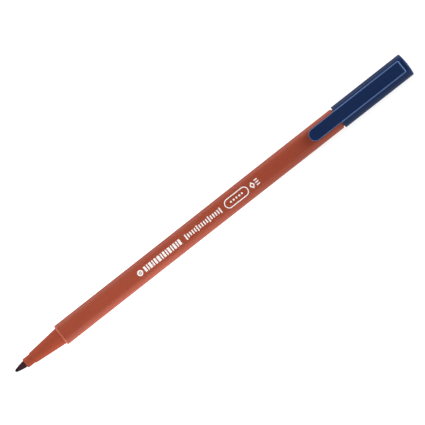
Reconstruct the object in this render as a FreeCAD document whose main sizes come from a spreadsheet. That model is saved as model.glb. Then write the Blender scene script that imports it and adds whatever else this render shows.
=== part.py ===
"""Felt tip pen with a soft-triangular barrel and a clip cap, cap pushed on behind the barrel.

Frame: millimetres, +Z up. The pen lies along X with its nib towards -X and its cap towards +X.
The origin is under the pen's axis, halfway along its length, on the surface that it lies on.
One flat of the cap faces straight down, and the clip is on the flat that faces -Y and up.

Stations along the pen are measured from the nib's point, so a body's own X is that station, and
each body is placed so that station total_length / 2 comes to X = 0 and the axis to Z = axis height.
"""
import FreeCAD, Part
import Sketcher
import math
import os

V = FreeCAD.Vector

# name, value in millimetres (or a count or degrees), what it is
SIZES = [
    ("total_length", 171.9, "nib point to the crown of the cap"),
    ("flat_width", 3.0, "planar part of each outer side, barrel and cap alike"),
    ("inner_flat_width", 1.7320508, "planar part of each side of the neck, cap bore and ink chamber"),
    ("barrel_front", 20.0, "station of the barrel's front face"),
    ("barrel_length", 121.2, "front face to rear shoulder"),
    ("barrel_corner_radius", 2.5, "outer corner radius of the barrel"),
    ("barrel_front_round", 0.4, "edge round at the front face"),
    ("barrel_rear_round", 0.35, "edge round at the rear shoulder"),
    ("neck_length", 7.6, "posting neck behind the shoulder"),
    ("neck_corner_radius", 2.67, "corner radius of the posting neck"),
    ("neck_round", 0.2, "edge round at the neck's open end"),
    ("chamber_corner_radius", 1.95, "corner radius of the ink chamber"),
    ("seat_radius", 2.5, "round seat for the nib holder"),
    ("seat_length", 11.0, "length of that seat"),
    ("holder_front", 4.4, "station of the nib holder's front face"),
    ("collar_radius", 1.82, "sealing collar behind the nib"),
    ("collar_length", 2.95, "length of that collar, with its lead-in"),
    ("collar_leadin", 0.15, "lead-in at the collar's front edge"),
    ("cone_small_radius", 2.11, "cone radius behind the collar"),
    ("cone_step_length", 0.3, "length of the step from collar to cone"),
    ("cone_large_radius", 3.24, "cone radius at the barrel"),
    ("spigot_radius", 2.49, "holder spigot inside the barrel"),
    ("spigot_length", 10.5, "length of that spigot"),
    ("spigot_leadin", 0.4, "lead-in at the spigot's end"),
    ("nib_bore_radius", 1.305, "bore that grips the nib"),
    ("nib_bore_length", 12.0, "length of that bore"),
    ("relief_radius", 1.65, "wider bore behind it"),
    ("vent_radius", 0.22, "air groove beside the nib"),
    ("vent_count", 3, "number of air grooves"),
    ("nib_radius", 1.3, "fibre nib shank"),
    ("nib_point_radius", 0.42, "half width of the nib's blunt point"),
    ("nib_point_round", 0.38, "edge round at the point"),
    ("nib_mid_station", 2.0, "station where the point's two tapers meet"),
    ("nib_mid_radius", 0.98, "half width there"),
    ("nib_taper_length", 3.9, "length of the tapered point"),
    ("nib_shoulder_round", 5.0, "blend between the tapers and into the shank"),
    ("nib_length", 38.0, "whole fibre nib"),
    ("nib_tail_chamfer", 0.6, "bevel at the nib's inner end"),
    ("core_front", 31.5, "station of the ink core's front face"),
    ("core_length", 100.0, "length of the ink core"),
    ("core_radius", 2.25, "radius of the ink core"),
    ("core_hole_depth", 6.7, "hole that takes the nib's inner end"),
    ("film_inner_radius", 2.26, "inside of the film sleeve"),
    ("film_outer_radius", 2.4, "outside of the film sleeve"),
    ("film_overhang", 0.2, "film past the core at each end"),
    ("plug_flange", 1.0, "thickness of the end plug's flange"),
    ("plug_corner_radius", 2.6, "corner radius of that flange"),
    ("plug_round", 0.35, "edge round of that flange"),
    ("plug_spigot_length", 6.0, "plug spigot in the chamber"),
    ("plug_spigot_corner_radius", 1.94, "corner radius of that spigot"),
    ("plug_stem_length", 10.6, "cross stem that holds the ink core"),
    ("plug_stem_width", 4.2, "width across the cross stem"),
    ("plug_stem_rib", 0.8, "thickness of its ribs"),
    ("plug_dimple_radius", 1.0, "gate dimple in the plug"),
    ("plug_dimple_depth", 0.35, "depth of that dimple"),
    ("cap_mouth", 141.7, "station of the cap's mouth"),
    ("cap_corner_radius", 2.87, "outer corner radius of the cap"),
    ("cap_bore_corner_radius", 2.72, "corner radius of the cap's bore"),
    ("cap_bore_depth", 28.6, "depth of the cap's bore"),
    ("cap_crown_radius", 21.0, "radius of the domed end"),
    ("cap_crown_round", 0.45, "edge round at the domed end"),
    ("cap_mouth_round", 0.15, "outer edge round at the mouth"),
    ("cap_mouth_leadin", 0.25, "inner lead-in at the mouth"),
    ("seal_mouth_depth", 13.4, "mouth of the inner seal, below the cap's mouth"),
    ("seal_outer_radius", 2.3, "outside of the inner seal"),
    ("seal_inner_radius", 1.85, "inside of the inner seal"),
    ("seal_cup_length", 9.6, "outer length of the seal's cup"),
    ("seal_cup_floor", 0.8, "floor of the cup"),
    ("seal_stem_radius", 1.3, "stem behind the cup"),
    ("seal_flange_radius", 3.2, "flange pressed into the bore"),
    ("seal_flange_thickness", 1.5, "thickness of that flange"),
    ("clip_width", 4.65, "width of the clip's free arm"),
    ("panel_width", 5.0, "width of the clip over the cap"),
    ("panel_flare", 1.2, "length over which the arm widens at the cap's mouth"),
    ("clip_tip", 129.35, "station of the clip's free end"),
    ("clip_hinge", 163.4, "station where the arm leaves its root"),
    ("clip_root_end", 169.8, "station of the root's far end"),
    ("clip_gap", 0.35, "gap between arm and cap"),
    ("clip_thickness", 0.9, "thickness of the arm"),
    ("clip_bevel", 0.35, "bevel along the clip's upper edges"),
    ("clip_root_round", 0.5, "corner radius of the root's far end"),
    ("clip_joint_gap", 0.05, "gap between arm and root"),
    ("pip_station", 132.2, "middle of the gripping rib under the arm"),
    ("pip_base", 2.8, "length of that rib at its base"),
    ("pip_top", 1.2, "length of that rib at its crest"),
    ("pip_width", 3.0, "width of that rib"),
    ("pip_clearance", 0.13, "crest of the rib to the barrel's flat"),
]


class Dim:
    """A size with its value and the expression that binds it to the sheet."""

    def __init__(self, value, text):
        self.value, self.text = float(value), text

    @staticmethod
    def of(x):
        return x if isinstance(x, Dim) else Dim(x, repr(float(x)))

    def __add__(self, o):
        o = Dim.of(o)
        return Dim(self.value + o.value, "(%s + %s)" % (self.text, o.text))

    def __sub__(self, o):
        o = Dim.of(o)
        return Dim(self.value - o.value, "(%s - %s)" % (self.text, o.text))

    def __mul__(self, o):
        o = Dim.of(o)
        return Dim(self.value * o.value, "(%s * %s)" % (self.text, o.text))

    def __truediv__(self, o):
        o = Dim.of(o)
        return Dim(self.value / o.value, "(%s / %s)" % (self.text, o.text))

    def __neg__(self):
        return Dim(-self.value, "(-1 * %s)" % self.text)


doc = FreeCAD.newDocument("felt_tip_pen")
sheet = doc.addObject("Spreadsheet::Sheet", "Sheet")
D = {}
for row, (name, value, note) in enumerate(SIZES, 1):
    sheet.set("A%d" % row, name)
    sheet.set("B%d" % row, "%.7g" % value)
    sheet.set("C%d" % row, note)
    sheet.setAlias("B%d" % row, name)
    D[name] = Dim(value, "Sheet." + name)
doc.recompute()

ROOT3 = math.sqrt(3.0)
outer_offset = D["flat_width"] / ROOT3            # axis to each outer corner's centre
inner_offset = D["inner_flat_width"] / ROOT3      # the same for neck, bore and chamber
cap_flat = outer_offset / 2 + D["cap_corner_radius"]          # axis to the cap's flat
barrel_flat = outer_offset / 2 + D["barrel_corner_radius"]    # axis to the barrel's flat
axis_height = cap_flat
half_length = D["total_length"] / 2
barrel_rear = D["barrel_front"] + D["barrel_length"]
neck_end = barrel_rear + D["neck_length"]
clip_under = cap_flat + D["clip_gap"]
clip_top = clip_under + D["clip_thickness"]
CLIP_TURN = 60.0   # degrees about X that bring a body's own +Z to the clip's flat


# ---------------------------------------------------------------- helpers
def plane(body, role):
    for f in body.Origin.OriginFeatures:
        if f.Role == role:
            return f
    raise RuntimeError("no origin plane " + role)


def new_body(label, turn=0.0):
    body = doc.addObject("PartDesign::Body", label)
    body.Label = label
    body.Placement = FreeCAD.Placement(
        V(-half_length.value, 0, axis_height.value), FreeCAD.Rotation(V(1, 0, 0), turn)
    )
    body.setExpression(".Placement.Base.x", (-half_length).text)
    body.setExpression(".Placement.Base.z", axis_height.text)
    return body


def new_sketch(body, label, role, offset=None):
    sk = body.newObject("Sketcher::SketchObject", label)
    sk.AttachmentSupport = [(plane(body, role), "")]
    sk.MapMode = "FlatFace"
    if offset is not None:
        offset = Dim.of(offset)
        sk.AttachmentOffset = FreeCAD.Placement(V(0, 0, offset.value), FreeCAD.Rotation())
        sk.setExpression(".AttachmentOffset.Base.z", offset.text)
    return sk


def bind(sk, index, dim):
    sk.setExpression("Constraints[%d]" % index, dim.text)


def fix_point(sk, geo, pos, x, y):
    """Holds one point of a sketch at (x, y) from its origin, bound to the sheet."""
    for kind, axis, d in (("DistanceX", -2, Dim.of(x)), ("DistanceY", -1, Dim.of(y))):
        if abs(d.value) < 1e-9:
            sk.addConstraint(Sketcher.Constraint("PointOnObject", geo, pos, axis))
        elif d.value > 0:
            bind(sk, sk.addConstraint(Sketcher.Constraint(kind, -1, 1, geo, pos, d.value)), d)
        else:
            bind(sk, sk.addConstraint(Sketcher.Constraint(kind, geo, pos, -1, 1, -d.value)), -d)


def polygon(sk, points):
    """A closed outline of straight lines through points given as pairs of sizes."""
    pts = [(Dim.of(x), Dim.of(y)) for x, y in points]
    n = len(pts)
    ids = []
    for i in range(n):
        a, b = pts[i], pts[(i + 1) % n]
        ids.append(sk.addGeometry(Part.LineSegment(V(a[0].value, a[1].value, 0), V(b[0].value, b[1].value, 0)), False))
    for i in range(n):
        sk.addConstraint(Sketcher.Constraint("Coincident", ids[i], 2, ids[(i + 1) % n], 1))
    for i in range(n):
        fix_point(sk, ids[i], 1, *pts[i])
    return ids


def circle(sk, radius, x=0.0, y=0.0):
    radius, x, y = Dim.of(radius), Dim.of(x), Dim.of(y)
    g = sk.addGeometry(Part.Circle(V(x.value, y.value, 0), V(0, 0, 1), radius.value), False)
    if abs(x.value) < 1e-9 and abs(y.value) < 1e-9:
        sk.addConstraint(Sketcher.Constraint("Coincident", g, 3, -1, 1))
    else:
        fix_point(sk, g, 3, x, y)
    bind(sk, sk.addConstraint(Sketcher.Constraint("Radius", g, radius.value)), radius)
    return g


def soft_triangle(sk, offset, radius, first=90.0):
    """Three corner arcs joined by straight sides. offset is from the axis to a corner's centre."""
    angles = [first, first + 120.0, first + 240.0]
    corners = []
    for a in angles:
        c, s = math.cos(math.radians(a)), math.sin(math.radians(a))
        corners.append((offset * (0.0 if abs(c) < 1e-9 else c), offset * (0.0 if abs(s) < 1e-9 else s)))
    r = radius.value

    def at(k, deg):
        x, y = corners[k]
        return V(x.value + r * math.cos(math.radians(deg)), y.value + r * math.sin(math.radians(deg)), 0)

    ids = []
    for k, a in enumerate(angles):
        x, y = corners[k]
        arc = Part.ArcOfCircle(
            Part.Circle(V(x.value, y.value, 0), V(0, 0, 1), r), math.radians(a - 60.0), math.radians(a + 60.0)
        )
        ids.append(sk.addGeometry(arc, False))
        ids.append(sk.addGeometry(Part.LineSegment(at(k, a + 60.0), at((k + 1) % 3, a + 60.0)), False))
    for i in range(6):
        sk.addConstraint(Sketcher.Constraint("Tangent", ids[i], 2, ids[(i + 1) % 6], 1))
    for k in range(3):
        fix_point(sk, ids[2 * k], 3, *corners[k])
    bind(sk, sk.addConstraint(Sketcher.Constraint("Radius", ids[0], r)), radius)
    sk.addConstraint(Sketcher.Constraint("Equal", ids[0], ids[2]))
    sk.addConstraint(Sketcher.Constraint("Equal", ids[0], ids[4]))
    return ids


def feature(body, kind, label, sk=None, length=None, reverse=False, both=False):
    f = body.newObject("PartDesign::" + kind, label)
    if sk is not None:
        f.Profile = sk
    if length is not None:
        length = Dim.of(length)
        f.Length = length.value
        f.setExpression("Length", length.text)
    if reverse:
        f.Reversed = True
    if both:
        if "SideType" in f.PropertiesList:
            f.SideType = "Symmetric"
        else:
            f.Midplane = True
    body.Tip = f
    doc.recompute()
    return f


def revolve(body, label, sk, kind="Revolution"):
    f = body.newObject("PartDesign::" + kind, label)
    f.Profile = sk
    f.ReferenceAxis = (sk, ["H_Axis"])
    f.Angle = 360.0
    body.Tip = f
    doc.recompute()
    return f


def edges_where(feat, test):
    return ["Edge%d" % (i + 1) for i, e in enumerate(feat.Shape.Edges) if test(e)]


def dress(body, kind, label, base, names, size):
    """A fillet or chamfer of the named edges of base."""
    if not names:
        raise RuntimeError("no edges for " + label)
    size = Dim.of(size)
    f = body.newObject("PartDesign::" + kind, label)
    f.Base = (base, names)
    prop = "Radius" if kind == "Fillet" else "Size"
    setattr(f, prop, size.value)
    f.setExpression(prop, size.text)
    body.Tip = f
    doc.recompute()
    return f


def at_station(e, x, tol=1e-4):
    a, b = e.FirstParameter, e.LastParameter
    return all(abs(e.valueAt(a + (b - a) * k / 8.0).x - x) < tol for k in range(9))


def reach(e):
    """Largest distance from the axis to a few points of an edge."""
    a, b = e.FirstParameter, e.LastParameter
    return max(math.hypot(e.valueAt(a + (b - a) * k / 8.0).y, e.valueAt(a + (b - a) * k / 8.0).z) for k in range(9))


def expect(feat, before, sign):
    """A feature that adds must add volume and one that cuts must remove it."""
    after = feat.Shape.Volume
    if (after - before) * sign <= 1e-6:
        raise RuntimeError("%s changed the volume from %.4f to %.4f" % (feat.Label, before, after))
    return after


# ---------------------------------------------------------------- barrel
def make_barrel():
    b = new_body("barrel")
    sk = new_sketch(b, "barrel_section", "YZ_Plane", D["barrel_front"])
    soft_triangle(sk, outer_offset, D["barrel_corner_radius"])
    pad = feature(b, "Pad", "barrel_tube", sk, D["barrel_length"])
    front, rear = D["barrel_front"].value, barrel_rear.value
    f = dress(b, "Fillet", "barrel_front_edge", pad, edges_where(pad, lambda e: at_station(e, front)), D["barrel_front_round"])
    f = dress(b, "Fillet", "barrel_rear_edge", f, edges_where(f, lambda e: at_station(e, rear)), D["barrel_rear_round"])
    vol = f.Shape.Volume
    sk = new_sketch(b, "neck_section", "YZ_Plane", barrel_rear)
    soft_triangle(sk, inner_offset, D["neck_corner_radius"])
    f = feature(b, "Pad", "posting_neck", sk, D["neck_length"])
    vol = expect(f, vol, 1)
    end = neck_end.value
    f = dress(b, "Fillet", "neck_edge", f, edges_where(f, lambda e: at_station(e, end)), D["neck_round"])
    vol = f.Shape.Volume
    sk = new_sketch(b, "chamber_section", "YZ_Plane", neck_end)
    soft_triangle(sk, inner_offset, D["chamber_corner_radius"])
    f = feature(b, "Pocket", "ink_chamber", sk, neck_end - D["barrel_front"] - D["seat_length"])
    vol = expect(f, vol, -1)
    sk = new_sketch(b, "seat_section", "YZ_Plane", D["barrel_front"])
    circle(sk, D["seat_radius"])
    f = feature(b, "Pocket", "holder_seat", sk, D["seat_length"] + 0.5, reverse=True)
    expect(f, vol, -1)
    return b


# ---------------------------------------------------------------- nib holder
def make_holder():
    b = new_body("nib_holder")
    sk = new_sketch(b, "holder_profile", "XY_Plane")
    x0 = D["holder_front"]
    collar_end = x0 + D["collar_length"]
    step_end = collar_end + D["cone_step_length"]
    front = D["barrel_front"]
    tail = front + D["spigot_length"]
    polygon(
        sk,
        [
            (x0, D["nib_bore_radius"]),
            (x0, D["collar_radius"] - D["collar_leadin"]),
            (x0 + D["collar_leadin"], D["collar_radius"]),
            (collar_end, D["collar_radius"]),
            (step_end, D["cone_small_radius"]),
            (front, D["cone_large_radius"]),
            (front, D["spigot_radius"]),
            (tail - D["spigot_leadin"], D["spigot_radius"]),
            (tail, D["spigot_radius"] - D["spigot_leadin"]),
            (tail, D["relief_radius"]),
            (x0 + D["nib_bore_length"], D["relief_radius"]),
            (x0 + D["nib_bore_length"], D["nib_bore_radius"]),
        ],
    )
    rev = revolve(b, "holder_turned", sk)
    # soften the two edges of the step between collar and cone
    xs = (collar_end.value, step_end.value)
    names = edges_where(rev, lambda e: any(at_station(e, x, 1e-3) for x in xs) and reach(e) > 1.6)
    f = dress(b, "Fillet", "cone_step_round", rev, names, 0.12)
    vol = f.Shape.Volume
    sk = new_sketch(b, "vent_section", "YZ_Plane", x0)
    circle(sk, D["vent_radius"], 0.0, D["nib_bore_radius"])
    p = feature(b, "Pocket", "vent_groove", sk, D["nib_bore_length"] + 0.1, reverse=True)
    vol = expect(p, vol, -1)
    pat = b.newObject("PartDesign::PolarPattern", "vent_grooves")
    pat.Originals = [p]
    pat.Axis = (sk, ["N_Axis"])
    pat.Angle = 360.0
    pat.Occurrences = int(D["vent_count"].value)
    pat.setExpression("Occurrences", D["vent_count"].text)
    b.Tip = pat
    doc.recompute()
    expect(pat, vol, -1)
    return b


# ---------------------------------------------------------------- nib
def make_nib():
    b = new_body("nib")
    sk = new_sketch(b, "nib_profile", "XY_Plane")
    polygon(
        sk,
        [
            (0.0, 0.0),
            (0.0, D["nib_point_radius"]),
            (D["nib_mid_station"], D["nib_mid_radius"]),
            (D["nib_taper_length"], D["nib_radius"]),
            (D["nib_length"] - D["nib_tail_chamfer"], D["nib_radius"]),
            (D["nib_length"], D["nib_radius"] - D["nib_tail_chamfer"]),
            (D["nib_length"], 0.0),
        ],
    )
    rev = revolve(b, "nib_turned", sk)
    f = dress(b, "Fillet", "nib_point", rev, edges_where(rev, lambda e: at_station(e, 0.0) and e.Length > 0.5), D["nib_point_round"])
    stations = (D["nib_mid_station"].value, D["nib_taper_length"].value)
    dress(b, "Fillet", "nib_shoulder", f, edges_where(f, lambda e: any(at_station(e, x, 1e-3) for x in stations)), D["nib_shoulder_round"])
    return b


# ---------------------------------------------------------------- ink core and its film
def make_core():
    b = new_body("reservoir_core")
    sk = new_sketch(b, "core_section", "YZ_Plane", D["core_front"])
    circle(sk, D["core_radius"])
    pad = feature(b, "Pad", "core_rod", sk, D["core_length"])
    vol = pad.Shape.Volume
    sk = new_sketch(b, "core_hole_section", "YZ_Plane", D["core_front"])
    circle(sk, D["nib_bore_radius"])
    f = feature(b, "Pocket", "core_hole", sk, D["core_hole_depth"], reverse=True)
    expect(f, vol, -1)
    return b


def make_film():
    length = D["core_length"] + D["film_overhang"] * 2
    start = D["core_front"] - D["film_overhang"]

    def rod(label, radius, extra):
        c = doc.addObject("Part::Cylinder", label)
        c.Radius = radius.value
        c.setExpression("Radius", radius.text)
        long = length + extra * 2
        c.Height = long.value
        c.setExpression("Height", long.text)
        x = start - half_length - extra
        c.Placement = FreeCAD.Placement(V(x.value, 0, axis_height.value), FreeCAD.Rotation(V(0, 1, 0), 90))
        c.setExpression(".Placement.Base.x", x.text)
        c.setExpression(".Placement.Base.z", axis_height.text)
        return c

    cut = doc.addObject("Part::Cut", "reservoir_sleeve")
    cut.Label = "reservoir_sleeve"
    cut.Base = rod("film_outside", D["film_outer_radius"], 0.0)
    cut.Tool = rod("film_inside", D["film_inner_radius"], 1.0)
    doc.recompute()
    return cut


# ---------------------------------------------------------------- end plug
def make_plug():
    b = new_body("end_plug")
    sk = new_sketch(b, "plug_flange_section", "YZ_Plane", neck_end)
    soft_triangle(sk, inner_offset, D["plug_corner_radius"])
    pad = feature(b, "Pad", "plug_flange", sk, D["plug_flange"])
    end = (neck_end + D["plug_flange"]).value
    f = dress(b, "Fillet", "plug_edge", pad, edges_where(pad, lambda e: at_station(e, end)), D["plug_round"])
    vol = f.Shape.Volume
    sk = new_sketch(b, "plug_spigot_section", "YZ_Plane", neck_end)
    soft_triangle(sk, inner_offset, D["plug_spigot_corner_radius"])
    f = feature(b, "Pad", "plug_spigot", sk, D["plug_spigot_length"], reverse=True)
    vol = expect(f, vol, 1)
    tip = neck_end - D["plug_spigot_length"]
    f = dress(b, "Chamfer", "plug_leadin", f, edges_where(f, lambda e: at_station(e, tip.value)), 0.3)
    w, t = D["plug_stem_width"] / 2, D["plug_stem_rib"] / 2
    for label, a, c in (("stem_upright", t, w), ("stem_crosswise", w, t)):
        vol = f.Shape.Volume
        sk = new_sketch(b, label + "_section", "YZ_Plane", tip)
        polygon(sk, [(-a, -c), (a, -c), (a, c), (-a, c)])
        f = feature(b, "Pad", label, sk, D["plug_stem_length"], reverse=True)
        vol = expect(f, vol, 1)
    sk = new_sketch(b, "plug_dimple_section", "YZ_Plane", neck_end + D["plug_flange"])
    circle(sk, D["plug_dimple_radius"])
    f = feature(b, "Pocket", "plug_dimple", sk, D["plug_dimple_depth"])
    expect(f, vol, -1)
    return b


# ---------------------------------------------------------------- cap
def make_cap():
    b = new_body("cap_shell")
    sk = new_sketch(b, "cap_section", "YZ_Plane", D["cap_mouth"])
    soft_triangle(sk, outer_offset, D["cap_corner_radius"])
    f = feature(b, "Pad", "cap_outside", sk, D["total_length"] - D["cap_mouth"])
    vol = f.Shape.Volume
    # the crown: everything outside a large sphere about a point on the axis is turned away
    sk = new_sketch(b, "crown_profile", "XY_Plane")
    apex, big = D["total_length"], D["cap_crown_radius"]
    centre = apex - big
    top = 6.0
    turn = math.asin(top / big.value)
    arc = sk.addGeometry(Part.ArcOfCircle(Part.Circle(V(centre.value, 0, 0), V(0, 0, 1), big.value), 0.0, turn), False)
    bx = centre.value + big.value * math.cos(turn)
    far = apex + 1.0
    l1 = sk.addGeometry(Part.LineSegment(V(bx, top, 0), V(far.value, top, 0)), False)
    l2 = sk.addGeometry(Part.LineSegment(V(far.value, top, 0), V(far.value, 0, 0)), False)
    l3 = sk.addGeometry(Part.LineSegment(V(far.value, 0, 0), V(apex.value, 0, 0)), False)
    add = sk.addConstraint
    add(Sketcher.Constraint("PointOnObject", arc, 3, -1))
    bind(sk, add(Sketcher.Constraint("DistanceX", -1, 1, arc, 3, centre.value)), centre)
    bind(sk, add(Sketcher.Constraint("Radius", arc, big.value)), big)
    add(Sketcher.Constraint("PointOnObject", arc, 1, -1))
    add(Sketcher.Constraint("Coincident", arc, 2, l1, 1))
    add(Sketcher.Constraint("DistanceY", -1, 1, arc, 2, top))
    add(Sketcher.Constraint("Horizontal", l1))
    add(Sketcher.Constraint("Coincident", l1, 2, l2, 1))
    bind(sk, add(Sketcher.Constraint("DistanceX", -1, 1, l1, 2, far.value)), far)
    add(Sketcher.Constraint("Vertical", l2))
    add(Sketcher.Constraint("PointOnObject", l2, 2, -1))
    add(Sketcher.Constraint("Coincident", l2, 2, l3, 1))
    add(Sketcher.Constraint("Coincident", l3, 2, arc, 1))
    f = revolve(b, "crown", sk, "Groove")
    vol = expect(f, vol, -1)
    limit = (D["total_length"] - 1.5).value

    def on_crown(e):
        return e.BoundBox.XMin > limit and reach(e) > 3.0 and e.BoundBox.XMax - e.BoundBox.XMin < 0.6 and e.Length > 0.5

    f = dress(b, "Fillet", "crown_edge", f, edges_where(f, on_crown), D["cap_crown_round"])
    mouth = D["cap_mouth"].value
    f = dress(b, "Fillet", "mouth_edge", f, edges_where(f, lambda e: at_station(e, mouth)), D["cap_mouth_round"])
    vol = f.Shape.Volume
    sk = new_sketch(b, "bore_section", "YZ_Plane", D["cap_mouth"])
    soft_triangle(sk, inner_offset, D["cap_bore_corner_radius"])
    f = feature(b, "Pocket", "cap_bore", sk, D["cap_bore_depth"], reverse=True)
    expect(f, vol, -1)
    edge_reach = (inner_offset + D["cap_bore_corner_radius"]).value + 0.01
    names = edges_where(f, lambda e: at_station(e, mouth) and reach(e) < edge_reach)
    dress(b, "Chamfer", "mouth_leadin", f, names, D["cap_mouth_leadin"])
    return b


def make_seal():
    b = new_body("inner_cap")
    sk = new_sketch(b, "seal_profile", "XY_Plane")
    mouth = D["cap_mouth"] + D["seal_mouth_depth"]
    cup_end = mouth + D["seal_cup_length"]
    back = D["cap_mouth"] + D["cap_bore_depth"]
    flange = back - D["seal_flange_thickness"]
    lip = 0.3
    polygon(
        sk,
        [
            (mouth, D["seal_inner_radius"] + 0.2),
            (mouth, D["seal_outer_radius"] - 0.1),
            (mouth + 0.1, D["seal_outer_radius"]),
            (cup_end - 0.4, D["seal_outer_radius"]),
            (cup_end, D["seal_outer_radius"] - 0.4),
            (cup_end, D["seal_stem_radius"]),
            (flange, D["seal_stem_radius"]),
            (flange, D["seal_flange_radius"]),
            (back, D["seal_flange_radius"]),
            (back, 0.0),
            (cup_end - D["seal_cup_floor"], 0.0),
            (cup_end - D["seal_cup_floor"], D["seal_inner_radius"]),
            (mouth + lip, D["seal_inner_radius"]),
        ],
    )
    revolve(b, "seal_turned", sk)
    return b


# ---------------------------------------------------------------- clip
def make_clip_root():
    b = new_body("clip_root", CLIP_TURN)
    half = D["panel_width"] / 2
    base = 3.2
    sk = new_sketch(b, "root_outline", "XY_Plane", base)
    x0, x1 = D["clip_hinge"], D["clip_root_end"]
    polygon(sk, [(x0, -half), (x1, -half), (x1, half), (x0, half)])
    f = feature(b, "Pad", "root_block", sk, clip_top - base)
    xe = x1.value
    names = edges_where(f, lambda e: at_station(e, xe) and e.BoundBox.ZMax - e.BoundBox.ZMin > 0.5)
    f = dress(b, "Fillet", "root_corners", f, names, D["clip_root_round"])
    zt, xs = clip_top.value, x0.value

    def upper(e):
        bb = e.BoundBox
        return abs(bb.ZMin - zt) < 1e-4 and abs(bb.ZMax - zt) < 1e-4 and not at_station(e, xs)

    f = dress(b, "Chamfer", "root_bevel", f, edges_where(f, upper), D["clip_bevel"])
    vol = f.Shape.Volume
    # the root stands on the cap, so the cap's own section is cut from its underside
    sk = new_sketch(b, "cap_section_under_root", "YZ_Plane", D["clip_hinge"] - 1.0)
    soft_triangle(sk, outer_offset, D["cap_corner_radius"], first=30.0)
    f = feature(b, "Pocket", "root_saddle", sk, D["clip_root_end"] - D["clip_hinge"] + 2.0, reverse=True)
    expect(f, vol, -1)
    return b


def make_clip_arm():
    b = new_body("clip_arm", CLIP_TURN)
    half, wide = D["clip_width"] / 2, D["panel_width"] / 2
    sk = new_sketch(b, "arm_outline", "XY_Plane", clip_under)
    xc = D["clip_tip"] + half                       # centre of the rounded free end
    xe = D["clip_hinge"] - D["clip_joint_gap"]
    xm = D["cap_mouth"]                             # the arm is at its full width from here back
    xn = xm - D["panel_flare"]
    h = half.value
    add, geo = sk.addConstraint, sk.addGeometry
    arc = geo(Part.ArcOfCircle(Part.Circle(V(xc.value, 0, 0), V(0, 0, 1), h), math.radians(90), math.radians(270)), False)
    path = [(xc, -half), (xn, -half), (xm, -wide), (xe, -wide), (xe, wide), (xm, wide), (xn, half), (xc, half)]
    lines = []
    for (ax, ay), (bx, by) in zip(path, path[1:]):
        lines.append(geo(Part.LineSegment(V(ax.value, ay.value, 0), V(bx.value, by.value, 0)), False))
    add(Sketcher.Constraint("Tangent", arc, 2, lines[0], 1))
    for a, c in zip(lines, lines[1:]):
        add(Sketcher.Constraint("Coincident", a, 2, c, 1))
    add(Sketcher.Constraint("Tangent", lines[-1], 2, arc, 1))
    add(Sketcher.Constraint("Horizontal", lines[0]))
    add(Sketcher.Constraint("Horizontal", lines[-1]))
    bind(sk, add(Sketcher.Constraint("Radius", arc, h)), half)
    add(Sketcher.Constraint("PointOnObject", arc, 3, -1))
    bind(sk, add(Sketcher.Constraint("DistanceX", -1, 1, arc, 3, xc.value)), xc)
    for k, pos in ((1, 1), (5, 2)):
        bind(sk, add(Sketcher.Constraint("DistanceX", -1, 1, lines[k], pos, xn.value)), xn)
    for k in range(2, 6):
        fix_point(sk, lines[k], 1, *path[k])
    f = feature(b, "Pad", "arm_blank", sk, D["clip_thickness"])
    zt, xj = clip_top.value, xe.value

    def upper(e):
        bb = e.BoundBox
        return abs(bb.ZMin - zt) < 1e-4 and abs(bb.ZMax - zt) < 1e-4 and not at_station(e, xj)

    f = dress(b, "Chamfer", "arm_bevel", f, edges_where(f, upper), D["clip_bevel"])
    vol = f.Shape.Volume
    # the gripping rib under the free end
    sk = new_sketch(b, "rib_profile", "XZ_Plane")
    m, z1 = D["pip_station"], barrel_flat + D["pip_clearance"]
    z0 = clip_under + 0.1
    polygon(
        sk,
        [
            (m - D["pip_base"] / 2, z0),
            (m - D["pip_top"] / 2, z1),
            (m + D["pip_top"] / 2, z1),
            (m + D["pip_base"] / 2, z0),
        ],
    )
    f = feature(b, "Pad", "gripping_rib", sk, D["pip_width"], both=True)
    expect(f, vol, 1)
    return b


parts = [
    make_barrel(),
    make_holder(),
    make_nib(),
    make_core(),
    make_film(),
    make_plug(),
    make_cap(),
    make_seal(),
    make_clip_root(),
    make_clip_arm(),
]
doc.recompute()

bad = [o.Label for o in doc.Objects if "Invalid" in o.State or "Error" in o.State]
if bad:
    raise RuntimeError("failed objects: %s" % bad)
os.makedirs("parts", exist_ok=True)
for p in parts:
    s = p.Shape
    if s.isNull() or not s.isValid() or not s.Solids:
        raise RuntimeError("bad shape: " + p.Label)
    bb = s.BoundBox
    print(
        "%-17s solids %d  volume %9.3f  x %8.3f %8.3f  y %7.3f %7.3f  z %7.3f %7.3f"
        % (p.Label, len(s.Solids), s.Volume, bb.XMin, bb.XMax, bb.YMin, bb.YMax, bb.ZMin, bb.ZMax)
    )
    s.exportStep("parts/%s.step" % p.Label)
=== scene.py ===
import math
import random

import bmesh
import bpy
from mathutils import Matrix, Vector, noise


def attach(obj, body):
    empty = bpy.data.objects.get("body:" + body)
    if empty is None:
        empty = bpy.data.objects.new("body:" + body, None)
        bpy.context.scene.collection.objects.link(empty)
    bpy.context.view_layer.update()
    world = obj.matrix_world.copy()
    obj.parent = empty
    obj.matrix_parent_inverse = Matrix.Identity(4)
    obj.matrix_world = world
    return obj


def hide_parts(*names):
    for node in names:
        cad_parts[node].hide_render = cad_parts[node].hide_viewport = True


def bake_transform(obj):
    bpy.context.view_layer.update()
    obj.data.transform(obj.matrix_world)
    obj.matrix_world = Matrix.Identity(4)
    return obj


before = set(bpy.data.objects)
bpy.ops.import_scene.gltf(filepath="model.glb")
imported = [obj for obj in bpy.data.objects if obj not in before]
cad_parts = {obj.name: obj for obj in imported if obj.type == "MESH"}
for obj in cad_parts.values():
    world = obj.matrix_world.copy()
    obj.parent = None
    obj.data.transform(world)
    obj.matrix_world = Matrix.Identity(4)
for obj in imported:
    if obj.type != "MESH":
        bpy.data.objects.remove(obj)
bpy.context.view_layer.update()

# ---------------------------------------------------------------- sizes, in metres
MM = 0.001
LENGTH = 171.9 * MM                       # nib point to crown
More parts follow.
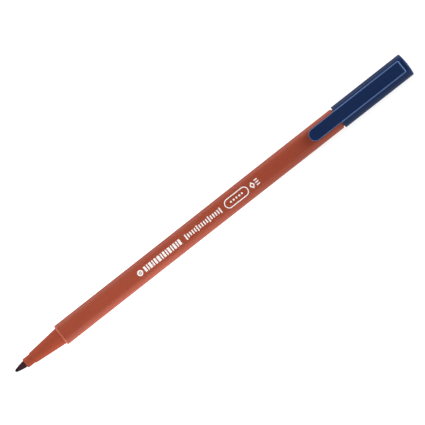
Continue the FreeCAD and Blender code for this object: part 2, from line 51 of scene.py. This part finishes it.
AXIS_Z = 3.73603 * MM                     # the pen's axis above the floor
CLIP_N = Vector((0.0, -math.cos(math.radians(30)), math.sin(math.radians(30))))   # clip flat's normal
CLIP_T = Vector((0.0, math.sin(math.radians(30)), math.cos(math.radians(30))))    # up across that flat
FLAT_HALF = 1.5 * MM
CORNER_OFFSET = 0.8660254 * MM            # half the distance from axis to a corner's centre


def station(s):
    """X of a station s millimetres from the nib's point."""
    return s * MM - LENGTH / 2


def pen_point(s, t, w):
    """A point from its station, its place across the clip's flat and its height along that flat's normal, in mm."""
    return Vector((station(s), 0.0, AXIS_Z)) + CLIP_T * (t * MM) + CLIP_N * (w * MM)


# ---------------------------------------------------------------- node helpers
class Nodes:
    """A small wrapper that builds a material's node tree."""

    def __init__(self, name):
        self.mat = bpy.data.materials.new(name)
        self.mat.use_nodes = True
        self.tree = self.mat.node_tree
        self.tree.nodes.clear()
        self.out = self.add("ShaderNodeOutputMaterial")
        self.bsdf = self.add("ShaderNodeBsdfPrincipled")
        self.link(self.bsdf, "BSDF", self.out, "Surface")
        self.coord = self.add("ShaderNodeTexCoord")

    def add(self, kind, **props):
        n = self.tree.nodes.new(kind)
        for k, v in props.items():
            setattr(n, k, v)
        return n

    def link(self, a, sa, b, sb):
        self.tree.links.new(a.outputs[sa], b.inputs[sb])

    def mapped(self, scale):
        """Object coordinates, stretched by a scale on each axis."""
        m = self.add("ShaderNodeMapping")
        m.inputs["Scale"].default_value = scale
        self.link(self.coord, "Object", m, "Vector")
        return m

    def noise(self, scale, detail=4.0, rough=0.5, distortion=0.0):
        n = self.add("ShaderNodeTexNoise")
        n.inputs["Scale"].default_value = 1.0
        n.inputs["Detail"].default_value = detail
        n.inputs["Roughness"].default_value = rough
        n.inputs["Distortion"].default_value = distortion
        self.link(self.mapped(scale), "Vector", n, "Vector")
        return n

    def voronoi(self, scale, feature="F1"):
        n = self.add("ShaderNodeTexVoronoi", feature=feature)
        n.inputs["Scale"].default_value = 1.0
        self.link(self.mapped(scale), "Vector", n, "Vector")
        return n

    def ramp(self, source, stops, socket="Fac"):
        """A colour ramp fed by a source; stops are (position, colour)."""
        r = self.add("ShaderNodeValToRGB")
        e = r.color_ramp.elements
        while len(e) > 1:
            e.remove(e[-1])
        for k, (p, c) in enumerate(stops):
            el = e[0] if k == 0 else e.new(p)
            el.position = p
            el.color = (*c, 1.0) if len(c) == 3 else c
        self.link(source, socket, r, "Fac")
        return r

    def remap(self, source, lo, hi, to_lo, to_hi, socket="Fac"):
        m = self.add("ShaderNodeMapRange")
        m.inputs["From Min"].default_value = lo
        m.inputs["From Max"].default_value = hi
        m.inputs["To Min"].default_value = to_lo
        m.inputs["To Max"].default_value = to_hi
        self.link(source, socket, m, "Value")
        return m

    def mix(self, a, sa, b, sb, fac=0.5, blend="MIX", fac_from=None):
        m = self.add("ShaderNodeMix", data_type="RGBA", blend_type=blend)
        m.inputs[0].default_value = fac
        if fac_from is not None:
            self.tree.links.new(fac_from[0].outputs[fac_from[1]], m.inputs[0])
        self.tree.links.new(a.outputs[sa], m.inputs[6])
        self.tree.links.new(b.outputs[sb], m.inputs[7])
        return m

    def bump(self, source, socket, strength, distance, after=None):
        b = self.add("ShaderNodeBump")
        b.inputs["Strength"].default_value = strength
        b.inputs["Distance"].default_value = distance
        self.link(source, socket, b, "Height")
        if after is not None:
            self.link(after, "Normal", b, "Normal")
        return b


def scaled(c, k):
    return tuple(min(1.0, x * k) for x in c)


def shifted(c, k, grey):
    """c made lighter or darker by k and drawn towards grey."""
    m = sum(c) / 3
    return tuple(min(1.0, (x + (m - x) * grey) * k) for x in c)


def moulded_plastic(name, colour, roughness, spread=0.06, streak=0.05, grain=0.35, coat=0.0, subsurface=0.0,
                    sss_radius=(0.6, 0.25, 0.15), specular=0.5, edge=None, rim_highlight=None):
    """Moulded polypropylene: cloudy colour, flow streaks along the part, a fine spark-eroded grain and rub marks."""
    m = Nodes(name)
    b = m.bsdf
    cloud = m.noise((70.0, 260.0, 260.0), 3.0, 0.55)
    streaks = m.noise((22.0, 1500.0, 1500.0), 4.0, 0.6, 0.2)
    speck = m.noise((5200.0, 5200.0, 5200.0), 2.0, 0.6)
    base = m.ramp(cloud, [(0.30, shifted(colour, 1 - spread, 0.0)), (0.52, colour), (0.74, shifted(colour, 1 + spread, 0.05))])
    lines = m.ramp(streaks, [(0.28, shifted(colour, 1 - streak * 1.5, 0.0)), (0.5, colour), (0.78, shifted(colour, 1 + streak * 1.8, 0.06))])
    both = m.mix(base, "Color", lines, "Color", 0.5)
    fine = m.ramp(speck, [(0.25, shifted(colour, 1 - spread * 1.6, 0.0)), (0.75, shifted(colour, 1 + spread * 1.6, 0.04))])
    col = m.mix(both, "Result", fine, "Color", 0.28)
    if edge is not None:
        # painted highlight: the bevel is given a paler colour than the faces beside it, standing in for the light its
        # rounded chamfer catches
        a = m.add("ShaderNodeAttribute", attribute_type="GEOMETRY", attribute_name="bevel_highlight")
        highlight_tint = m.ramp(m.noise((700.0, 2600.0, 2600.0), 3.0, 0.6), [(0.25, scaled(edge, 0.78)), (0.75, scaled(edge, 1.2))])
        col = m.mix(col, "Result", highlight_tint, "Color", fac_from=(a, "Fac"))
    if rim_highlight is not None:
        # painted highlight at an end of the moulding, its colour paler towards that end: (station of full tone, station
        # where it has faded out, colour)
        sep = m.add("ShaderNodeSeparateXYZ")
        m.link(m.coord, "Object", sep, "Vector")
        fade = m.remap(sep, station(rim_highlight[1]), station(rim_highlight[0]), 0.0, 1.0, "X")
        highlight_tint = m.ramp(m.noise((900.0, 1400.0, 1400.0), 3.0, 0.6), [(0.25, scaled(rim_highlight[2], 0.85)), (0.75, scaled(rim_highlight[2], 1.1))])
        col = m.mix(col, "Result", highlight_tint, "Color", fac_from=(fade, "Result"))
    m.link(col, "Result", b, "Base Color")
    # roughness: polished a little where it is handled, duller along fine rub marks
    rub = m.noise((55.0, 3800.0, 3800.0), 3.0, 0.55, 0.4)
    patch = m.noise((120.0, 330.0, 330.0), 2.0, 0.5)
    r1 = m.remap(rub, 0.3, 0.75, roughness - 0.05, roughness + 0.07)
    r2 = m.remap(patch, 0.3, 0.7, -0.05, 0.05)
    add = m.add("ShaderNodeMath", operation="ADD")
    m.link(r1, "Result", add, 0)
    m.link(r2, "Result", add, 1)
    m.link(add, "Value", b, "Roughness")
    # bump: spark-eroded grain, faint flow lines and a slight waviness from shrinkage
    g = m.noise((3000.0, 3000.0, 3000.0), 3.0, 0.65)
    wave = m.noise((60.0, 200.0, 200.0), 1.0, 0.4)
    n1 = m.bump(wave, "Fac", 0.35, 0.00006)
    n2 = m.bump(streaks, "Fac", 0.16, 0.00002, n1)
    n3 = m.bump(g, "Fac", grain, 0.000018, n2)
    m.link(n3, "Normal", b, "Normal")
    b.inputs["Specular IOR Level"].default_value = specular
    b.inputs["IOR"].default_value = 1.49
    b.inputs["Coat Weight"].default_value = coat
    b.inputs["Coat Roughness"].default_value = 0.25
    if subsurface:
        b.inputs["Subsurface Weight"].default_value = subsurface
        b.inputs["Subsurface Radius"].default_value = sss_radius
        b.inputs["Subsurface Scale"].default_value = 0.0006
    return m.mat


def fibre(name, dark, light, along=240.0, across=9000.0, roughness=0.85, tip=None, sheen=0.3, specular=0.3):
    """Bonded polyester fibre: long filaments along the part, with voids between bundles."""
    m = Nodes(name)
    b = m.bsdf
    hair = m.noise((along, across, across), 5.0, 0.65, 0.35)
    bundle = m.noise((along * 0.6, across * 0.28, across * 0.28), 3.0, 0.5, 0.5)
    c1 = m.ramp(hair, [(0.30, dark), (0.62, light), (0.85, shifted(light, 1.5, 0.2))])
    c2 = m.ramp(bundle, [(0.30, shifted(dark, 0.75, 0.0)), (0.70, light)])
    col = m.mix(c1, "Color", c2, "Color", 0.45)
    last = col
    if tip is not None:
        # the point is soaked and polished by paper, so it is darker over its first stretch
        sep = m.add("ShaderNodeSeparateXYZ")
        m.link(m.coord, "Object", sep, "Vector")
        t = m.remap(sep, station(0.0), station(tip[0]), 1.0, 0.0, "X")
        edge = m.ramp(bundle, [(0.2, scaled(tip[1], 0.7)), (0.8, tip[1])])
        last = m.mix(col, "Result", edge, "Color", fac_from=(t, "Result"))
    m.link(last, "Result", b, "Base Color")
    r = m.remap(hair, 0.25, 0.75, roughness - 0.12, roughness + 0.08)
    m.link(r, "Result", b, "Roughness")
    n1 = m.bump(bundle, "Fac", 0.6, 0.00005)
    n2 = m.bump(hair, "Fac", 0.7, 0.00003, n1)
    m.link(n2, "Normal", b, "Normal")
    b.inputs["Sheen Weight"].default_value = sheen
    b.inputs["Sheen Roughness"].default_value = 0.5
    b.inputs["Specular IOR Level"].default_value = specular
    return m.mat


def print_ink(name, colour):
    """Pad-printed ink: a little uneven in cover, with a fine edge texture."""
    m = Nodes(name)
    b = m.bsdf
    n = m.noise((2600.0, 2600.0, 2600.0), 3.0, 0.6)
    c = m.ramp(n, [(0.25, scaled(colour, 0.86)), (0.55, colour), (0.8, scaled(colour, 1.04))])
    m.link(c, "Color", b, "Base Color")
    m.link(m.remap(n, 0.3, 0.7, 0.42, 0.55), "Result", b, "Roughness")
    m.link(m.bump(n, "Fac", 0.3, 0.00001), "Normal", b, "Normal")
    return m.mat


def film(name, colour):
    """Thin wrapping film with length-wise draw lines."""
    m = Nodes(name)
    b = m.bsdf
    n = m.noise((40.0, 2500.0, 2500.0), 4.0, 0.6)
    c = m.ramp(n, [(0.3, scaled(colour, 0.85)), (0.7, colour)])
    m.link(c, "Color", b, "Base Color")
    m.link(m.remap(n, 0.3, 0.7, 0.18, 0.34), "Result", b, "Roughness")
    m.link(m.bump(n, "Fac", 0.25, 0.00002), "Normal", b, "Normal")
    b.inputs["Coat Weight"].default_value = 0.2
    return m.mat


TERRACOTTA = (0.330, 0.0540, 0.0222)
NAVY = (0.0074, 0.0232, 0.083)

# the barrel's front rim gets a painted highlight, a paler orange band over its rounded front edge
MAT_BARREL = moulded_plastic("barrel_moulding", TERRACOTTA, 0.50, 0.07, 0.06, 0.35, subsurface=0.05, specular=0.36,
                            rim_highlight=(20.22, 20.62, (0.52, 0.150, 0.085)))
MAT_HOLDER = moulded_plastic("holder_moulding", (0.345, 0.0615, 0.0290), 0.60, 0.08, 0.05, 0.45, subsurface=0.03, specular=0.07)
# painted highlight: the cap's closed end is painted a lighter blue over its last 2 mm, lifting the shade there
MAT_CAP = moulded_plastic("cap_moulding", NAVY, 0.44, 0.10, 0.08, 0.22, specular=0.16, rim_highlight=(171.4, 169.9, (0.0112, 0.034, 0.116)))
# the clip's bevels are painted paler as a highlight
MAT_CLIP = moulded_plastic("clip_moulding", shifted(NAVY, 0.95, 0.0), 0.42, 0.10, 0.08, 0.18, specular=0.16, edge=(0.066, 0.132, 0.31))
MAT_SEAL = moulded_plastic("seal_moulding", (0.66, 0.655, 0.62), 0.42, 0.03, 0.03, 0.3, subsurface=0.25, sss_radius=(1.0, 0.95, 0.85))
MAT_NIB = fibre("nib_fibre_inked", (0.013, 0.004, 0.0065), (0.055, 0.0125, 0.022), 260.0, 7500.0, 0.78, tip=(2.4, (0.0085, 0.0055, 0.0065)), sheen=0.04, specular=0.18)
MAT_CORE = fibre("reservoir_fibre_inked", (0.09, 0.014, 0.016), (0.30, 0.06, 0.06), 120.0, 5200.0, 0.9)
MAT_FILM = film("reservoir_wrap", (0.74, 0.72, 0.68))
MAT_PRINT = print_ink("printed_marks", (0.90, 0.875, 0.86))


def dress_node(node, material):
    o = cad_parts[node]
    o.data.materials.clear()
    o.data.materials.append(material)
    for p in o.data.polygons:
        p.material_index = 0


for node, material in (
    ("barrel", MAT_BARREL), ("nib_holder", MAT_HOLDER), ("end_plug", MAT_HOLDER), ("cap_shell", MAT_CAP),
    ("inner_cap", MAT_SEAL), ("reservoir_core", MAT_CORE), ("reservoir_sleeve", MAT_FILM),
):
    dress_node(node, material)


# ---------------------------------------------------------------- mesh helpers
def new_piece(name, bm, material, smooth=True):
    me = bpy.data.meshes.new(name)
    bmesh.ops.recalc_face_normals(bm, faces=bm.faces)
    bm.to_mesh(me)
    bm.free()
    o = bpy.data.objects.new(name, me)
    bpy.context.scene.collection.objects.link(o)
    me.materials.append(material)
    for p in me.polygons:
        p.use_smooth = smooth
    return o


def lathe(profile, around, wobble=None):
    """A closed solid of revolution about the pen's axis. profile is [(station, radius)] in mm, ends on the axis."""
    bm = bmesh.new()
    rings = []
    for s, r in profile:
        if r < 1e-9:
            rings.append([bm.verts.new((station(s), 0.0, AXIS_Z))])
            continue
        ring = []
        for k in range(around):
            a = 2 * math.pi * k / around
            rr = r if wobble is None else wobble(s, a, r)
            ring.append(bm.verts.new((station(s), rr * math.cos(a) * MM, AXIS_Z + rr * math.sin(a) * MM)))
        rings.append(ring)
    for a, b in zip(rings, rings[1:]):
        if len(a) == 1 and len(b) == 1:
            continue
        for k in range(around):
            n = (k + 1) % around
            if len(a) == 1:
                bm.faces.new((a[0], b[n], b[k]))
            elif len(b) == 1:
                bm.faces.new((a[k], a[n], b[0]))
            else:
                bm.faces.new((a[k], a[n], b[n], b[k]))
    return bm


# ---------------------------------------------------------------- fibre nib
def nib_radius(s):
    """Outline of the point: a blunt end, a slightly convex taper and the shank."""
    outline = ((0.0, 0.42), (2.0, 0.98), (3.9, 1.297), (99.0, 1.297))
    r = 0.0
    for (s0, r0), (s1, r1) in zip(outline, outline[1:]):
        if s0 <= s <= s1:
            r = r0 + (r1 - r0) * (s - s0) / (s1 - s0)
    # the bends between tapers and into the shank are rounded
    for k in (1, 2):
        (s0, r0), (s1, r1), (s2, r2) = outline[k - 1], outline[k], outline[k + 1]
        h = 0.55
        if abs(s - s1) < h:
            u = (s - (s1 - h)) / (2 * h)
            a = r1 - (r1 - r0) / (s1 - s0) * h
            b = r1 + (r2 - r1) / (s2 - s1) * h
            r = (1 - u) ** 2 * a + 2 * u * (1 - u) * r1 + u * u * b
    if s < 0.38:
        r = min(r, math.sqrt(max(0.0, 0.38 ** 2 - (0.38 - s) ** 2)) * 1.02 + 0.09 * (s / 0.38) + 0.02)
    return r


def make_nib():
    stations = [0.0, 0.008, 0.025, 0.05, 0.09, 0.14, 0.2, 0.27, 0.34, 0.42]
    s = 0.52
    while s < 6.0:
        stations.append(s)
        s += 0.11
    stations += [6.2, 9.0, 12.0, 16.0, 24.0, 30.0, 36.0, 37.4, 37.7, 38.0]
    profile = []
    for s in stations:
        r = nib_radius(s) if s < 37.4 else 1.297 - (s - 37.4)
        profile.append((s, 0.0 if s == 0.0 else r))
    profile.append((38.0, 0.0))

    def wobble(s, a, r):
        # filaments show as fine ridges along the point, all of them below the outline
        q = Vector((s * 0.35, math.cos(a) * 3.2, math.sin(a) * 3.2))
        f = noise.noise(q * 2.2) * 0.5 + noise.noise(q * 6.0 + Vector((7.0, 3.0, 1.0))) * 0.5
        depth = 0.035 if s < 6.0 else 0.004
        fade = min(1.0, s / 0.5)
        return r - depth * fade * (0.5 + 0.5 * f) * (r / 1.25)

    o = new_piece("fibre_nib", lathe(profile, 72, wobble), MAT_NIB)
    sub = o.modifiers.new("smooth", "SUBSURF")
    sub.levels = 1
    sub.render_levels = 1
    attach(o, "pen")
    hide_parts("nib")
    return o


make_nib()


# ---------------------------------------------------------------- pocket clip: one moulding from root to free end
def make_clip():
    half, wide, tip, end, corner = 2.325, 2.5, 129.35, 169.8, 0.5
    hinge, top, under, sunk = 163.4, 4.986, 4.086, 3.46
    mouth = 141.7
    # one side of the outline in plan, from the free end's tip to the middle of the root's far edge
    side = []
    for k in range(0, 25):
        a = math.pi / 2 * k / 24
        side.append((tip + half - half * math.cos(a), half * math.sin(a), -math.cos(a), math.sin(a)))
    def flare(s):
        u = min(1.0, max(0.0, (s - (mouth - 1.2)) / 1.2))
        return half + (wide - half) * u * u * (3 - 2 * u)

    xs = []
    x = tip + half + 0.4
    while x < end - corner - 0.05:
        xs.append(x)
        x += 0.2 if 161.5 < x < 164.6 or 139.5 < x < 144.0 else 0.6
    for x in xs:
        side.append((x, flare(x), 0.0, 1.0))
    for k in range(0, 9):
        a = math.pi / 2 * k / 8
        side.append((end - corner + corner * math.sin(a), wide - corner + corner * math.cos(a), math.sin(a), math.cos(a)))
    for t in (1.4, 0.7, 0.0):
        side.append((end, t, 1.0, 0.0))

    def bevel(s):
        # narrow on the free arm, full width from the cap's mouth back
        u = min(1.0, max(0.0, (s - (mouth - 1.2)) / 1.8))
        return 0.25 + (0.37 - 0.25) * u * u * (3 - 2 * u)

    def floor_height(s):
        u = min(1.0, max(0.0, (s - (hinge - 0.35)) / 0.35))
        return under - (under - sunk) * (1 - math.sqrt(max(0.0, 1 - u * u)))

    # rings from the middle of the underside, over the edge, to the middle of the top
    layers = [("low", 0.30), ("low", 0.10), ("low", 0.04), ("lowside", 0.0)]
    curve = [(0.0, 1.22), (0.015, 1.07), (0.08, 0.92), (0.30, 0.70), (0.50, 0.50), (0.70, 0.30), (0.92, 0.08), (1.07, 0.015), (1.22, 0.0)]
    bm = bmesh.new()
    edge = bm.verts.layers.float.new("bevel_highlight")
    rings = []

    def ring(inset_of, height_of):
        pts = []
        for s, t, ns, nt in side:
            i = inset_of(s)
            pts.append((s - ns * i, max(0.0, t - nt * i) if t > 1e-9 else 0.0, height_of(s)))
        up = [bm.verts.new(pen_point(*p)) for p in pts]
        down = [up[0]] + [bm.verts.new(pen_point(p[0], -p[1], p[2])) for p in pts[1:-1]] + [up[-1]]
        rings.append((up, down))

    for kind, inset in layers:
        if kind == "low":
            rise = 0.0 if inset > 0.05 else 0.03
            ring(lambda s, i=inset: i, lambda s, r=rise: floor_height(s) + r)
        else:
            ring(lambda s: 0.0, lambda s: floor_height(s) + 0.11)
    ring(lambda s: 0.0, lambda s: top - 0.45)
    for ci, cd in curve:
        ring(lambda s, k=ci: bevel(s) * k, lambda s, k=cd: top - bevel(s) * k)

    # painted highlight: each bevel ring gets a share of the paler colour, a quarter less on the free arm
    for depth, (ua, da) in enumerate(rings[5:]):
        tone = (0.0, 0.55, 1.0, 1.0, 1.0, 1.0, 1.0, 0.45, 0.0)[depth]
        for side_verts in (ua, da):
            for k, v in enumerate(side_verts):
                u = min(1.0, max(0.0, (side[k][0] - (mouth - 0.9)) / 1.0))
                v[edge] = tone * (0.75 + 0.25 * u)

    for (ua, da), (ub, db) in zip(rings, rings[1:]):
        n = len(ua)
        for k in range(n - 1):
            bm.faces.new((ua[k], ua[k + 1], ub[k + 1], ub[k]))
            bm.faces.new((da[k + 1], da[k], db[k], db[k + 1]))
    for up, down in (rings[0], rings[-1]):
        n = len(up)
        for k in range(n - 1):
            quad = [up[k], up[k + 1], down[k + 1], down[k]]
            seen = []
            for v in quad:
                if v not in seen:
                    seen.append(v)
            bm.faces.new(seen)
    # gripping rib under the free end, with rounded flanks
    prof = []
    m, base, crest, w0, w1 = 132.2, 2.8, 1.2, under + 0.06, 3.366 + 0.135
    for k in range(0, 9):
        u = k / 8
        prof.append((m - base / 2 + (base - crest) / 2 * u, w0 - (w0 - w1) * (3 * u * u - 2 * u ** 3)))
    for k in range(0, 9):
        u = k / 8
        prof.append((m + crest / 2 + (base - crest) / 2 * u, w1 + (w0 - w1) * (3 * u * u - 2 * u ** 3)))
    rows = []
    ts = [-1.5, -1.42, -1.3, -0.7, 0.0, 0.7, 1.3, 1.42, 1.5]
    for t in ts:
        lift = {1.5: 0.16, 1.42: 0.04}.get(abs(t), 0.0)
        rows.append([bm.verts.new(pen_point(s, t, min(w0, w + lift))) for s, w in prof])
    for a, b in zip(rows, rows[1:]):
        for k in range(len(a) - 1):
            bm.faces.new((a[k], a[k + 1], b[k + 1], b[k]))
        bm.faces.new((a[-1], a[0], b[0], b[-1]))
    bm.faces.new(rows[0])
    bm.faces.new(list(reversed(rows[-1])))

    o = new_piece("pocket_clip", bm, MAT_CLIP)
    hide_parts("clip_arm", "clip_root")
    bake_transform(o)
    return o


make_clip()


# ---------------------------------------------------------------- printed marks on the barrel's upper flat
PRINT_RAISE = 0.014


def on_barrel(s, t, lift):
    """A point of the barrel's surface, t millimetres round it from the middle of the clip's flat."""
    flat, rc = 1.5, 2.5
    if abs(t) <= flat:
        return pen_point(s, t, 0.8660254 + rc + lift)
    a = (abs(t) - flat) / rc
    sign = 1.0 if t > 0 else -1.0
    return pen_point(s, sign * (flat + (rc + lift) * math.sin(a)), 0.8660254 + (rc + lift) * math.cos(a))


def loop_rect(s0, s1, t0, t1, r, n=5):
    pts = []
    for cx, cy, a0 in ((s1 - r, t1 - r, 0), (s0 + r, t1 - r, 90), (s0 + r, t0 + r, 180), (s1 - r, t0 + r, 270)):
        for k in range(n + 1):
            a = math.radians(a0 + 90.0 * k / n)
            pts.append((cx + r * math.cos(a), cy + r * math.sin(a)))
    return pts


def loop_circle(s, t, r, n=40):
    return [(s + r * math.cos(2 * math.pi * k / n), t + r * math.sin(2 * math.pi * k / n)) for k in range(n)]


def make_print():
    mid = -0.2
    shapes = []       # each is [outer loop, hole loops...]
    shapes.append([loop_circle(54.9, mid, 1.08), loop_circle(54.9, mid, 0.55)])
    shapes.append([loop_circle(54.9, mid, 0.26, 24)])
    # bold upright strokes
    s = 56.75
    for width in (0.82, 0.50, 0.95, 0.50, 0.82, 1.05, 0.50, 0.82, 0.50, 0.95, 0.50, 0.82, 0.50, 0.9):
        shapes.append([loop_rect(s, s + width, mid - 1.06, mid + 1.06, 0.12)])
        s += width + 0.44
    # a row of fine ticks, every fifth one longer
    for k in range(16):
        low, high = (-1.1, 1.1) if k % 5 == 0 else (-0.75, 0.75)
        shapes.append([loop_rect(74.7 + 1.0 * k, 75.2 + 1.0 * k, mid + low, mid + high, 0.1)])
    # a stadium outline round five dots
    shapes.append([loop_rect(92.0, 102.0, mid - 1.78, mid + 1.78, 1.77, 14), loop_rect(92.36, 101.64, mid - 1.42, mid + 1.42, 1.41, 14)])
    for k in range(5):
        shapes.append([loop_circle(94.6 + 1.2 * k, mid, 0.36, 24)])
    # a small open diamond and three short strokes
    shapes.append([
        [(103.85 + 0.98 * x, mid + 1.3 * y) for x, y in ((1, 0), (0, 1), (-1, 0), (0, -1))],
        [(103.85 + 0.46 * x, mid + 0.62 * y) for x, y in ((1, 0), (0, 1), (-1, 0), (0, -1))],
    ])
    for t in (-0.92, 0.0, 0.92):
        shapes.append([loop_rect(105.2, 106.6, mid + t - 0.21, mid + t + 0.21, 0.12)])

    bm = bmesh.new()
    for loops in shapes:
        edges = []
        for loop in loops:
            vs = [bm.verts.new((x, y, 0.0)) for x, y in loop]
            edges += [bm.edges.new((vs[k], vs[(k + 1) % len(vs)])) for k in range(len(vs))]
        bmesh.ops.triangle_fill(bm, edges=edges, use_beauty=True, normal=(0, 0, 1))
    for t in [1.5 + 0.2 * k for k in range(4)] + [-1.5 - 0.2 * k for k in range(5)]:
        bmesh.ops.bisect_plane(bm, geom=bm.verts[:] + bm.edges[:] + bm.faces[:], plane_co=(0, t, 0), plane_no=(0, 1, 0))
    flat = bm.faces[:]
    top = bmesh.ops.extrude_face_region(bm, geom=flat)
    for v in [g for g in top["geom"] if isinstance(g, bmesh.types.BMVert)]:
        v.co.z = 1.0
    for v in bm.verts:
        v.co = on_barrel(v.co.x, v.co.y, PRINT_RAISE if v.co.z > 0.5 else -0.02)
    o = new_piece("printed_marks", bm, MAT_PRINT, smooth=False)
    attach(o, "pen")
    return o


make_print()


# ---------------------------------------------------------------- floor, light and camera
def make_floor():
    bm = bmesh.new()
    n, size = 24, 6.0
    grid = [[bm.verts.new((-size / 2 + size * i / n, -size / 2 + size * j / n, -0.00002)) for j in range(n + 1)] for i in range(n + 1)]
    for i in range(n):
        for j in range(n):
            bm.faces.new((grid[i][j], grid[i + 1][j], grid[i + 1][j + 1], grid[i][j + 1]))
    m = Nodes("studio_floor")
    c = m.noise((3.0, 3.0, 3.0), 2.0, 0.5)
    col = m.ramp(c, [(0.3, (0.215, 0.215, 0.215)), (0.7, (0.23, 0.23, 0.23))])
    m.link(col, "Color", m.bsdf, "Base Color")
    m.bsdf.inputs["Roughness"].default_value = 0.9
    m.bsdf.inputs["Specular IOR Level"].default_value = 0.0
    m.bsdf.inputs["Emission Color"].default_value = (1.0, 1.0, 1.0, 1.0)
    # painted pool of light: the floor's emission is raised in a patch near the pen's front, and the glow there also
    # lights the pen's lower front side
    away = m.add("ShaderNodeVectorMath", operation="DISTANCE")
    away.inputs[1].default_value = (GLOW_PATCH_X, GLOW_PATCH_Y, 0.0)
    m.link(m.coord, "Object", away, 0)
    glow = m.remap(away, GLOW_PATCH_NEAR, GLOW_PATCH_FAR, FLOOR_GLOW + GLOW_PATCH_EXTRA, FLOOR_GLOW, "Value")
    glow.interpolation_type = "SMOOTHSTEP"
    m.link(glow, "Result", m.bsdf, "Emission Strength")
    o = new_piece("floor", bm, m.mat, smooth=False)
    return o


FLOOR_GLOW = 0.89
# painted pool of light on the floor: its extra glow, its centre and the distances over which it fades out
GLOW_PATCH_EXTRA = 1.2
GLOW_PATCH_X, GLOW_PATCH_Y = -0.036, -0.040
GLOW_PATCH_NEAR, GLOW_PATCH_FAR = 0.010, 0.092
ELEVATION = math.radians(25.0)
ROLL = math.radians(38.16)
BACK = Vector((0.0, -math.cos(ELEVATION), math.sin(ELEVATION)))
UP0 = Vector((0.0, math.sin(ELEVATION), math.cos(ELEVATION)))
make_floor()


def area(name, place, size, power, aim=(0.0, 0.0, 0.0), colour=(1, 1, 1)):
    d = bpy.data.lights.new(name, "AREA")
    d.shape = "RECTANGLE"
    d.size, d.size_y = size
    d.energy = power
    d.color = colour
    o = bpy.data.objects.new(name, d)
    o.location = place
    o.rotation_mode = "QUATERNION"
    o.rotation_quaternion = (Vector(aim) - Vector(place)).to_track_quat("-Z", "Y")
    bpy.context.scene.collection.objects.link(o)
    return o


area("softbox_top", (-0.26, -0.08, 0.42), (0.5, 0.36), 1.05)
area("softbox_back", (-0.02, 0.20, 0.42), (0.6, 0.26), 1.1)
area("softbox_right", (0.48, -0.11, 0.11), (0.25, 0.14), 1.65)
area("softbox_front", (-0.20, -0.24, 0.03), (0.20, 0.06), 0.08, (-0.05, 0.0, 0.0))
area("softbox_left", (-0.75, -0.10, 0.35), (0.5, 0.4), 0.6)

world = bpy.data.worlds.new("studio")
bpy.context.scene.world = world
world.use_nodes = True
wt = world.node_tree
wt.nodes.clear()
wo = wt.nodes.new("ShaderNodeOutputWorld")
wb = wt.nodes.new("ShaderNodeBackground")
wc = wt.nodes.new("ShaderNodeTexCoord")
dot = wt.nodes.new("ShaderNodeVectorMath")
dot.operation = "DOT_PRODUCT"
dot.inputs[1].default_value = Vector((0.0, -math.cos(math.radians(40)), math.sin(math.radians(40))))
wt.links.new(wc.outputs["Generated"], dot.inputs[0])
wr = wt.nodes.new("ShaderNodeValToRGB")
e = wr.color_ramp.elements
e[0].position, e[0].color = 0.30, (0.95, 0.95, 0.95, 1)
e[1].position, e[1].color = 0.85, (0.06, 0.06, 0.065, 1)
wt.links.new(dot.outputs["Value"], wr.inputs["Fac"])
wt.links.new(wr.outputs["Color"], wb.inputs["Color"])
wb.inputs["Strength"].default_value = 0.64
wt.links.new(wb.outputs["Background"], wo.inputs["Surface"])

PX_PER_MM = 2.9
LENS, SENSOR = 400.0, 36.0
distance = LENS / SENSOR * (425.0 / PX_PER_MM) * MM
target = Vector((1.38 * MM, 0.0, AXIS_Z)) + UP0 * (1.13 * MM)
right = Vector((1, 0, 0)) * math.cos(ROLL) - UP0 * math.sin(ROLL)
up = Vector((1, 0, 0)) * math.sin(ROLL) + UP0 * math.cos(ROLL)
cam_data = bpy.data.cameras.new("camera")
cam_data.lens = LENS
cam_data.sensor_width = SENSOR
cam_data.clip_start = 0.05
cam_data.clip_end = 20.0
cam_data.dof.use_dof = False
cam = bpy.data.objects.new("camera", cam_data)
turn = Matrix((right, up, BACK)).transposed()
cam.matrix_world = Matrix.Translation(target + BACK * distance) @ turn.to_4x4()
bpy.context.scene.collection.objects.link(cam)
bpy.context.scene.camera = cam

view = bpy.context.scene.view_settings
view.view_transform = "Standard"
view.look = "None"
view.exposure = 0.0
view.gamma = 1.0
